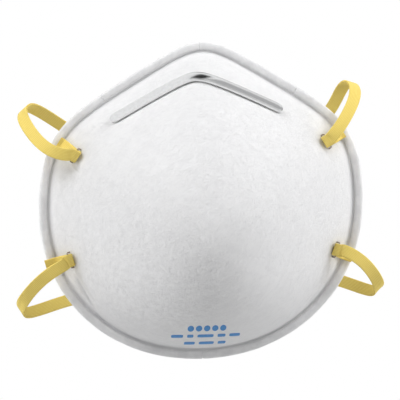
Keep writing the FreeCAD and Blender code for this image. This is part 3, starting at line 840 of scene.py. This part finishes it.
@dataclass
class SeatedStrip:
    """A strip bent across the nose, seated on the cup's outside or inside."""

    form: CupForm
    name: str
    span: float
    width: float
    thickness: float
    peak_z: float
    centre_x: float
    gap: float
    slopes: tuple = (28.8, 24.9)
    peak_radius: float = 4.5 * MM
    edge_depth: float = 0.0
    cup_depth: float = 0.0
    inward: bool = False
    end_rounding: float = 2.4 * MM
    bevel: float = 0.25 * MM
    raised_border: float = 0.0

    def path(self, count: int) -> tuple[Array, Array, Array, Array]:
        """Seat points, normals, directions across and distances along, from one end to the other.

        The strip falls away from its peak along two hyperbolas, and its y is evened by a five-point weighting.
        """
        off = np.linspace(-1, 1, count) * self.span / 2
        slope = np.tan(np.radians(np.where(off < 0, *self.slopes)))
        fall = slope * (np.hypot(off, self.peak_radius) - self.peak_radius)
        points, normals = self.form.seat(self.centre_x + off, self.peak_z - fall, self.edge_depth, self.cup_depth)
        kernel = np.array([1, 2, 3, 2, 1]) / 9
        padded = np.pad(points[:, 1], 2, mode="edge")
        points[2:-2, 1] = np.convolve(padded, kernel, "valid")[2:-2]
        along = unit(np.gradient(points, axis=0))
        across = unit(np.cross(along, normals))
        normals = unit(np.cross(across, along))
        normals *= np.where(normals[:, 1:2] > 0, -1, 1)
        return points, normals, across, distances(points)

    def profile(self) -> Array:
        """Section as rows of shares of the half width, shifts across and heights: bevelled, maybe with a raised rim."""
        low, high, b = self.gap, self.gap + self.thickness, self.bevel
        c = 0.3 * b
        half = [(-b, low), (-c, low + c), (0, low + b), (0, high - b), (-c, high - c), (-b, high)]
        if self.raised_border:
            half += [(-2.2 * b, high), (-3.2 * b, high - self.raised_border)]
        right = [(1, shift, lift) for shift, lift in half]
        left = [(-1, -shift, lift) for shift, lift in reversed(half)]
        return np.array(left[-3:] + right + left[:-3]).T

    def build(self, count: int = 160) -> Object:
        """Strip with rounded ends and edges: its section carried along the path, narrowed in a round at each end."""
        points, normals, across, distance = self.path(count)
        length = distance[-1]
        start = self.end_rounding * (1 - np.cos(np.linspace(0, math.pi / 2, 12)))
        middle = np.linspace(self.end_rounding, length - self.end_rounding, 120)[1:-1]
        fine = np.concatenate([start, middle, length - start[::-1]])
        def at(values: Array) -> Array:
            """Values of the path at the fine distances."""
            return np.stack([np.interp(fine, distance, values[:, k]) for k in range(3)], -1)
        points, normals, across = at(points), unit(at(normals)), unit(at(across))
        from_end = np.minimum(fine, length - fine)
        inside = np.clip(1 - from_end / self.end_rounding, 0, 1)
        half = self.width / 2 - self.end_rounding * (1 - np.sqrt(np.maximum(1 - inside ** 2, 0.0025)))
        share, shift, lift = self.profile()
        t = share * half[:, None] + shift * np.minimum(1, half / (self.width / 2))[:, None]
        lift = (-lift if self.inward else lift)[:, None]
        sections = points[:, None] + across[:, None] * t[..., None] + normals[:, None] * lift
        flat = np.stack([np.broadcast_to(fine[:, None], t.shape), t], -1)
        return tube_of_sections(self.name, sections, flat, smooth_angle=35)


@dataclass
class NoseBridge:
    """Everything at the nose: bent clip, its bonding strip and the foam inside."""

    form: CupForm
    palette: Palette
    seat_gap: float = 0.12 * MM
    bond_thickness: float = 0.2 * MM
    clip_thickness: float = 0.9 * MM

    def build(self) -> None:
        """Makes the clip and the foam and dresses the bonding strip."""
        clip = SeatedStrip(self.form, "nose_strip", 68.0 * MM, 5.0 * MM, self.clip_thickness, 49.8 * MM, -2.1 * MM,
                           2 * self.seat_gap + self.bond_thickness, raised_border=0.12 * MM).build()
        dress(clip, self.palette.clip)
        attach(clip, "mask")
        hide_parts("nose_clip")
        foam = SeatedStrip(self.form, "nose_cushion", 74.0 * MM, 13.0 * MM, 4.0 * MM, 49.8 * MM, -2.1 * MM,
                           0.55 * MM, edge_depth=1.19 * MM, cup_depth=2.54 * MM, inward=True,
                           end_rounding=3.0 * MM, bevel=0.9 * MM).build()
        dress(foam, self.palette.foam)
        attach(foam, "mask")
        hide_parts("nose_foam")
        dress(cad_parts["clip_adhesive"], self.palette.bond)
        log.info("nose bridge: clip, bond and foam")


@dataclass
class Fastening:
    """One strap end on the cup: where it is stapled, and the directions along, across and off the wall there."""

    form: CupForm
    name: str
    thickness: float
    seat_gap: float = 0.12 * MM
    band_half: float = 1.315 * MM
    tail_lift: float = 0.45 * MM
    fold_rise: float = 3.65 * MM
    loop_reach: float = 22.0 * MM
    loop_end_y: float = 19.0 * MM

    def __post_init__(self) -> None:
        """Seats the fastening on the cup."""
        corner = self.form.corners[self.name]
        self.side, self.tail_length = corner.side, corner.tail_length
        angle, slope = math.radians(corner.angle), math.radians(corner.tail_slope)
        self.plan_out = np.array([self.side * math.cos(slope), 0, math.sin(slope)])
        radius = float(self.form.edge_radius(np.array([angle]))[0]) - corner.inset
        place = self.form.leaned(radius * np.array([math.cos(angle), 0, math.sin(angle)]))
        point, off = self.form.seat(place[:1], place[2:])
        self.point, self.off = point[0], off[0]
        self.out = unit(self.plan_out - np.array([0, self.plan_out @ self.off / self.off[1], 0]))
        self.crown = np.cross(self.out, self.off) * -self.side
        self.tail_rise = self.seat_gap + self.thickness / 2
        self.step_y = -self.band_half - self.tail_lift - self.thickness / 2

    def at(self, along: float, rise: float) -> Array:
        """Point at a distance outwards along the wall and a height off it."""
        return self.point + self.out * along + self.off * rise

    def over(self, plan: float, y: float) -> Array:
        """Point in the fold's own plane, at a distance outwards in front view and a given y."""
        square = np.array([[self.out @ self.plan_out, self.off @ self.plan_out], [self.out[1], self.off[1]]])
        return self.at(*np.linalg.solve(square, [plan, y - self.point[1]]))

    def fold(self) -> Array:
        """Top of the fold over the staple: an end of the strap's swing axis."""
        return self.at(-0.4 * self.fold_rise, self.tail_rise + self.fold_rise)

    def tail(self) -> list:
        """Stations of the stapled end: over the binding, down along the wall and folded back over the staple."""
        fold, low = self.fold_rise / 2, self.tail_rise
        meet = (self.step_y - self.at(0, low)[1]) / self.out[1]
        plan_meet = (self.at(meet, low) - self.point) @ self.plan_out
        rest = self.tail_length - plan_meet
        stations = [self.over(plan_meet + share * rest, self.step_y) for share in (1.0, 0.75, 0.45, 0.15)]
        stations += [self.at(along, rise) for along, rise in (
            (0.8 * meet, low), (0.5 * meet, low), (0, low), (-0.8 * fold, low), (-1.35 * fold, low + 0.35 * fold),
            (-1.4 * fold, low + fold), (-1.3 * fold, low + 1.65 * fold))]
        top = self.fold()
        return stations + [self.over((top - self.point) @ self.plan_out - 0.2 * fold, top[1])]

    def loop(self, table: tuple) -> tuple[Array, Array]:
        """Stations of the loop and their directions across, from just after the fold to its return at the edge."""
        rows = np.array(table)
        root = np.array([self.point[0], self.fold()[1], self.point[2]])
        depth = (self.loop_end_y - root[1]) / rows[-1, 1]
        reach = np.array([self.side * self.loop_reach, depth, self.loop_reach])
        return root + reach * rows[:, :3], np.array([self.side, 1, 1]) * rows[:, 3:]


@dataclass
class Strap:
    """One flat elastic strap: both stapled ends, both loops and the run behind the mask, as one continuous strip."""

    form: CupForm
    palette: Palette
    name: str
    left: str
    right: str
    left_loop: tuple
    right_loop: tuple
    rear: tuple
    width: float = 5.0 * MM
    thickness: float = 0.8 * MM
    rear_depth: float = 24.5 * MM
    round_edge: float = 0.32 * MM
    rear_across: tuple = (0.0, -0.1, 1.0)

    def __post_init__(self) -> None:
        """Seats both fastenings."""
        self.ends = [Fastening(self.form, name, self.thickness) for name in (self.left, self.right)]

    def route(self) -> tuple[Array, Array]:
        """All stations in order and their directions across."""
        left, right = self.ends
        left_tail, right_tail = left.tail(), right.tail()[::-1]
        left_loop, right_loop = left.loop(self.left_loop), right.loop(self.right_loop)
        rear = self.form.leaned(np.array(self.rear) * (self.form.half_width, self.rear_depth, self.form.chin_drop))
        points = np.concatenate([left_tail, left_loop[0], rear, right_loop[0][::-1], right_tail])
        across = np.concatenate([[left.crown] * len(left_tail), left_loop[1], [self.rear_across] * len(rear),
                                 right_loop[1][::-1], [right.crown] * len(right_tail)])
        return points, across

    def section(self) -> Array:
        """Section as (across, through): a flat strip with rounded edges."""
        turn = np.linspace(0, math.pi, 7) - math.pi / 2
        half, r = self.width / 2 - self.round_edge, self.thickness / 2
        right = np.stack([half + self.round_edge * np.cos(turn), r * np.sin(turn)], -1)
        flat = np.linspace(half, -half, 9)[1:-1]
        top = np.stack([flat, np.full_like(flat, r)], -1)
        return np.concatenate([right, top, -right, -top])

    def build(self) -> None:
        """Makes the free part and both stapled ends, cut from one strip so that they meet without a step."""
        points, across = self.route()
        spans = len(points) - 3
        weights = clamped_basis(len(points), np.linspace(0, spans, spans * 10 + 1))
        middle = weights @ points
        side = weights @ unit(across)
        along = unit(np.gradient(middle, axis=0))
        side = unit(side - along * np.sum(side * along, -1, keepdims=True))
        through = np.cross(along, side)
        distance = distances(middle)
        profile = self.section()
        sections = middle[:, None] + side[:, None] * profile[None, :, :1] + through[:, None] * profile[None, :, 1:]
        flat = np.stack([np.broadcast_to(distance[:, None], sections.shape[:2]),
                         np.broadcast_to(profile[None, :, 0], sections.shape[:2])], -1)
        first, last = (self.split(middle, end) for end in self.ends)
        loop = tube_of_sections(self.name + "_elastic", sections[first:last + 1], flat[first:last + 1], smooth_angle=60)
        self.finish(loop, self.name)
        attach(loop, self.name)
        for end, piece, uv in ((self.ends[0], sections[:first + 1], flat[:first + 1]),
                               (self.ends[1], sections[last:], flat[last:])):
            tail = tube_of_sections(end.name + "_end", piece, uv, smooth_angle=60)
            self.finish(tail, end.name + "_tail")
            tuple(end.at(-1.2 * MM, end.tail_rise + 1.2 * MM))
            tuple(end.at(-1.95 * MM, end.tail_rise + 2.85 * MM))
            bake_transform(tail)
            dress(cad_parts[end.name + "_staple"], self.palette.wire)
        log.info("%s: %.0f mm of elastic", self.name, distance[-1] / MM)

    @staticmethod
    def split(middle: Array, end: Fastening) -> int:
        """Number of the station nearest the top of an end's fold, where the free part starts."""
        return int(np.argmin(np.linalg.norm(middle - end.fold(), axis=1)))

    def finish(self, obj: Object, node: str) -> None:
        """Dresses a piece of the strap and lets it stand for its node."""
        dress(obj, self.palette.elastic)
        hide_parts(node)


# Loops from their folds, out and round behind the edge: (outward, y, up) as shares of the loop's reach, then the
# direction across the strap
UPPER_LEFT_LOOP = (
    (0.188, -0.02, 0.019, -0.3, -0.1, 0.93), (0.345, -0.02, 0.054, -0.33, 0.05, 0.94),
    (0.516, -0.01, 0.128, -0.58, 0.1, 0.8), (0.709, 0.1, 0.304, -0.75, 0.1, 0.65),
    (0.857, 0.24, 0.526, -0.85, 0.1, 0.5), (0.939, 0.35, 0.686, -0.87, -0.16, 0.47),
    (0.975, 0.47, 0.849, -0.67, -0.6, 0.43), (0.883, 0.61, 0.934, -0.51, -0.66, 0.55),
    (0.767, 0.72, 0.927, -0.54, -0.39, 0.74), (0.567, 0.83, 0.821, -0.59, -0.13, 0.79),
    (0.342, 0.95, 0.676, -0.63, -0.25, 0.72), (0.002, 1.08, 0.446, -0.6, -0.2, 0.76))
UPPER_RIGHT_LOOP = (
    (0.091, -0.02, 0.08, -0.75, 0.0, 0.65), (0.249, -0.01, 0.26, -0.81, 0.12, 0.57),
    (0.43, 0.09, 0.52, -0.87, 0.2, 0.44), (0.577, 0.22, 0.778, -0.93, 0.09, 0.37),
    (0.636, 0.36, 0.988, -0.96, -0.2, 0.18), (0.588, 0.54, 1.134, -0.83, -0.51, 0.21),
    (0.501, 0.7, 1.094, -0.81, -0.39, 0.43), (0.417, 0.79, 0.947, -0.84, 0.12, 0.53),
    (0.327, 0.88, 0.734, -0.84, 0.16, 0.52), (0.148, 1.02, 0.459, -0.75, 0.2, 0.6))
LOWER_LEFT_LOOP = (
    (0.088, -0.02, -0.06, 0.36, -0.2, 0.88), (0.265, -0.02, -0.153, 0.52, 0.0, 0.85),
    (0.48, 0.0, -0.288, 0.66, -0.08, 0.74), (0.711, 0.115, -0.498, 0.76, -0.08, 0.64),
    (0.883, 0.275, -0.717, 0.82, -0.04, 0.56), (0.964, 0.41, -0.868, 0.53, 0.5, 0.69),
    (0.912, 0.57, -0.977, 0.38, 0.51, 0.77), (0.767, 0.71, -0.973, 0.31, 0.28, 0.91),
    (0.478, 0.845, -0.898, 0.31, 0.19, 0.93), (0.198, 0.96, -0.813, 0.3, 0.2, 0.92),
    (-0.216, 1.07, -0.715, 0.24, 0.12, 0.96))
LOWER_RIGHT_LOOP = (
    (0.104, -0.02, -0.004, 0.32, 0.17, 0.93), (0.276, -0.02, -0.074, 0.42, 0.2, 0.88),
    (0.511, 0.03, -0.235, 0.6, 0.16, 0.78), (0.706, 0.165, -0.451, 0.79, 0.0, 0.62),
    (0.864, 0.35, -0.68, 0.95, -0.07, 0.31), (0.864, 0.53, -0.825, 0.54, 0.48, 0.69),
    (0.696, 0.69, -0.791, 0.37, 0.12, 0.92), (0.458, 0.8, -0.695, 0.33, -0.04, 0.94),
    (0.188, 0.92, -0.594, 0.33, 0.08, 0.94), (-0.146, 1.05, -0.489, 0.29, 0.05, 0.96))
# Rear runs behind the mask: shares of the half width, of the rear depth and of the chin drop
UPPER_REAR = ((-0.55, 0.94, 0.31), (-0.25, 1.0, 0.23), (0.02, 1.02, 0.215), (0.3, 1.0, 0.245), (0.57, 0.92, 0.36))
LOWER_REAR = ((-0.45, 0.93, -0.555), (-0.15, 1.0, -0.515), (0.15, 1.0, -0.49), (0.45, 0.93, -0.485))


@dataclass
class ChinMark:
    """A plain printed mark on the chin: a row of blue dots over two rows of short bars, with no letters.

    Places of the dots, widths of the bars and the gap between them are in millimetres.
    """

    form: CupForm
    palette: Palette
    centre_x: float = -1.4 * MM
    top_z: float = -49.3 * MM
    row_gap: float = 3.2 * MM
    lift: float = 0.04 * MM
    dots: tuple = (-6.4, -3.2, 0.0, 3.2, 6.4)
    dot_size: float = 2.5 * MM
    bars: tuple = ((4.6, 2.4, 6.4, 3.2, 4.4), (4.2, 6.0, 3.2))
    bar_gap: float = 1.6
    bar_height: float = 1.3 * MM
    bar_power: float = 0.35

    def patch(self, x: float, z: float, width: float, height: float, roundness: float) -> tuple[Array, list]:
        """Small superellipse patch that lies on the cup: rings from its middle to its edge."""
        turn = np.linspace(0, TAU, 24, endpoint=False)
        c, s = rounded(turn, roundness, roundness)
        edge = np.stack([c * width / 2, s * height / 2], -1)
        rings = np.concatenate([edge * 0.02, edge * 0.5, edge])
        points, normals = self.form.seat(x + rings[:, 0], z + rings[:, 1])
        faces = grid_faces(3, 24, False, True).tolist() + [list(range(24))]
        return points + normals * self.lift, faces

    def build(self) -> None:
        """Makes the mark as one piece."""
        items = [(self.centre_x + dx * MM, self.top_z, self.dot_size, self.dot_size, 1.0) for dx in self.dots]
        for row, widths in enumerate(self.bars, 1):
            x = self.centre_x - (sum(widths) + self.bar_gap * (len(widths) - 1)) * MM / 2
            z = self.top_z - row * self.row_gap
            for width in widths:
                items.append((x + width * MM / 2, z, width * MM, self.bar_height, self.bar_power))
                x += (width + self.bar_gap) * MM
        points, faces, start = [], [], 0
        for item in items:
            patch, patch_faces = self.patch(*item)
            points.append(patch)
            faces += [[k + start for k in face] for face in patch_faces]
            start += len(patch)
        mark = mesh_object("chin_mark", np.concatenate(points), faces)
        if np.mean([face.normal.y for face in mark.data.polygons]) > 0:
            mark.data.flip_normals()
        dress(mark, self.palette.ink)
        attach(mark, "mask")
        log.info("chin mark: %d printed shapes", len(items))


# ---------------------------------------------------------------- studio
def facing_mask(place: tuple, axis: str) -> Matrix:
    """Place and turn of a thing whose axis points from its place to the middle of the mask."""
    return Matrix.Translation(place) @ (-Vector(place)).to_track_quat(axis, "Y").to_matrix().to_4x4()


@dataclass(frozen=True)
class Lamp:
    """A square soft lamp that faces the mask; shiny surfaces show the white surroundings in place of it."""

    name: str
    place: tuple
    size: float
    power: float

    def build(self) -> None:
        """Adds the lamp."""
        data = bpy.data.lights.new(self.name, "AREA")
        data.size, data.energy = self.size, self.power
        lamp = bpy.data.objects.new(self.name, data)
        lamp.matrix_world = facing_mask(self.place, "-Z")
        lamp.visible_glossy = False
        bpy.context.scene.collection.objects.link(lamp)


@dataclass(frozen=True)
class Flag:
    """An unseen card that faces the mask and gives contrast: only to shiny surfaces, or only to matt ones."""

    name: str
    place: tuple
    size: tuple
    tone: float
    shiny: bool = True

    def build(self) -> None:
        """Adds the card, which glows with its tone."""
        u, v = self.size[0] / 2, self.size[1] / 2
        turned = facing_mask(self.place, "Z")
        corners = [turned @ Vector(c) for c in ((-u, -v, 0), (u, -v, 0), (u, v, 0), (-u, v, 0))]
        card = mesh_object(self.name, np.array(corners), [[0, 1, 2, 3]])
        material, build = new_material(self.name)
        build.finish(build.add("Emission", {"Color": (1, 1, 1, 1), "Strength": self.tone}))
        card.data.materials.append(material)
        card.visible_camera = card.visible_shadow = card.visible_transmission = False
        card.visible_glossy, card.visible_diffuse = self.shiny, not self.shiny


@dataclass
class Studio:
    """White surroundings, a pale floor, soft lamps and the camera in front of the mask."""

    distance: float = 1.0
    turn: float = 4.5
    roll: float = 1.5
    sensor: float = 36.0
    view_width: float = 162.0 * MM
    aim: tuple = (0.6642 * MM, 1.215 * MM)
    floor_z: float = -0.13
    floor_radius: float = 0.5
    floor_tone: float = 0.70
    world_light: float = 0.10
    lamps: tuple = (
        Lamp("above_left", (-0.70, -0.42, 0.82), 0.7, 9.4),
        Lamp("above_right", (0.70, -0.38, 0.82), 0.7, 9.3),
        Lamp("side_left", (-1.1, -0.10, 0.06), 0.7, 3.6),
        Lamp("side_right", (1.1, -0.04, 0.08), 0.7, 5.0),
        Lamp("behind", (0.1, 1.1, 0.12), 0.9, 6.5))
    flags: tuple = (
        Flag("flag_above", (-0.01, 0.10, 0.7), (0.22, 0.5), 0.01),
        Flag("flag_right", (0.43, 0.22, 0.68), (0.56, 0.6), 0.50),
        Flag("flag_below", (0.0, -0.03, -0.105), (0.24, 0.12), 0.58, shiny=False))

    def build(self) -> None:
        """Makes the world, the floor, the cards, the lamps and the camera."""
        self.world()
        self.floor()
        for item in self.flags + self.lamps:
            item.build()
        bpy.context.scene.view_settings.view_transform = "Standard"
        self.camera()

    @staticmethod
    def seen(build: Nodes) -> NodeSocket:
        """1 for the rays that show the surroundings, to the camera or in the mask's shiny and clear surfaces."""
        path = build.add("LightPath").outputs
        shown = build.math("MAXIMUM", path["Is Camera Ray"], path["Is Transmission Ray"])
        return build.math("MAXIMUM", shown, path["Is Glossy Ray"])

    def world(self) -> None:
        """White where it is seen, and a plain even light."""
        world = bpy.data.worlds.new("studio_world")
        world.use_nodes = True
        build = Nodes(world.node_tree)
        even = build.add("Background", {"Color": (1, 1, 1, 1), "Strength": self.world_light})
        white = build.add("Background", {"Color": (1, 1, 1, 1), "Strength": 1.0})
        build.finish(build.blend(self.seen(build), even, white), "OutputWorld")
        bpy.context.scene.world = world

    def floor(self) -> None:
        """Pale round sheet, clear from below, that takes the mask's shadow and fades into white at its edge."""
        turn = np.linspace(0, TAU, 64, endpoint=False)
        ring = np.stack([np.cos(turn), np.sin(turn), np.zeros(64)], -1) * self.floor_radius
        sheet = mesh_object("studio_floor", ring + [0, 0, self.floor_z], [list(range(64))])
        material, build = new_material("studio_white")
        flat = build.scaled(build.add("TexCoord").outputs[Space.OBJECT.value], (1.0, 1.0, 0.0))
        reach = build.add("VectorMath", {0: flat}, operation="LENGTH").outputs["Value"]
        far = build.ramp(reach, 0.5 * self.floor_radius, 0.96 * self.floor_radius)
        paper = build.add("BsdfDiffuse", {"Color": (*[self.floor_tone] * 3, 1)})
        glow = build.add("Emission", {"Color": (1, 1, 1, 1), "Strength": 1.0})
        upper = build.blend(build.times(far, self.seen(build)), paper, glow)
        under = build.add("NewGeometry").outputs["Backfacing"]
        build.finish(build.blend(under, upper, build.add("BsdfTransparent")))
        sheet.data.materials.append(material)

    def camera(self) -> None:
        """Long lens in front and a little to the left, turned slightly about its own axis."""
        yaw, roll = math.radians(self.turn), math.radians(self.roll)
        across, ahead = Vector((math.cos(yaw), -math.sin(yaw), 0)), Vector((math.sin(yaw), math.cos(yaw), 0))
        right = across * math.cos(roll) - Vector((0, 0, 1)) * math.sin(roll)
        up = across * math.sin(roll) + Vector((0, 0, 1)) * math.cos(roll)
        data = bpy.data.cameras.new("studio_camera")
        data.sensor_width = self.sensor
        data.lens = self.sensor * self.distance / self.view_width
        data.shift_x, data.shift_y = -self.aim[0] / self.view_width, self.aim[1] / self.view_width
        camera = bpy.data.objects.new("studio_camera", data)
        turned = Matrix((right, up, -ahead)).transposed().to_4x4()
        camera.matrix_world = Matrix.Translation(-ahead * self.distance) @ turned
        bpy.context.scene.collection.objects.link(camera)
        bpy.context.scene.camera = camera


def main() -> None:
    """Builds the studio and the mask's sub-assemblies in order."""
    Studio().build()
    palette = Palette()
    form = CupForm()
    Cup(form, palette).build([Fastening(form, name, Strap.thickness).point[::2] for name in form.corners])
    Binding(form, palette).build()
    NoseBridge(form, palette).build()
    Strap(form, palette, "upper_strap", "upper_left", "upper_right", UPPER_LEFT_LOOP, UPPER_RIGHT_LOOP,
          UPPER_REAR).build()
    Strap(form, palette, "lower_strap", "lower_left", "lower_right", LOWER_LEFT_LOOP, LOWER_RIGHT_LOOP,
          LOWER_REAR).build()
    ChinMark(form, palette).build()


if __name__ == "__main__":
    main()
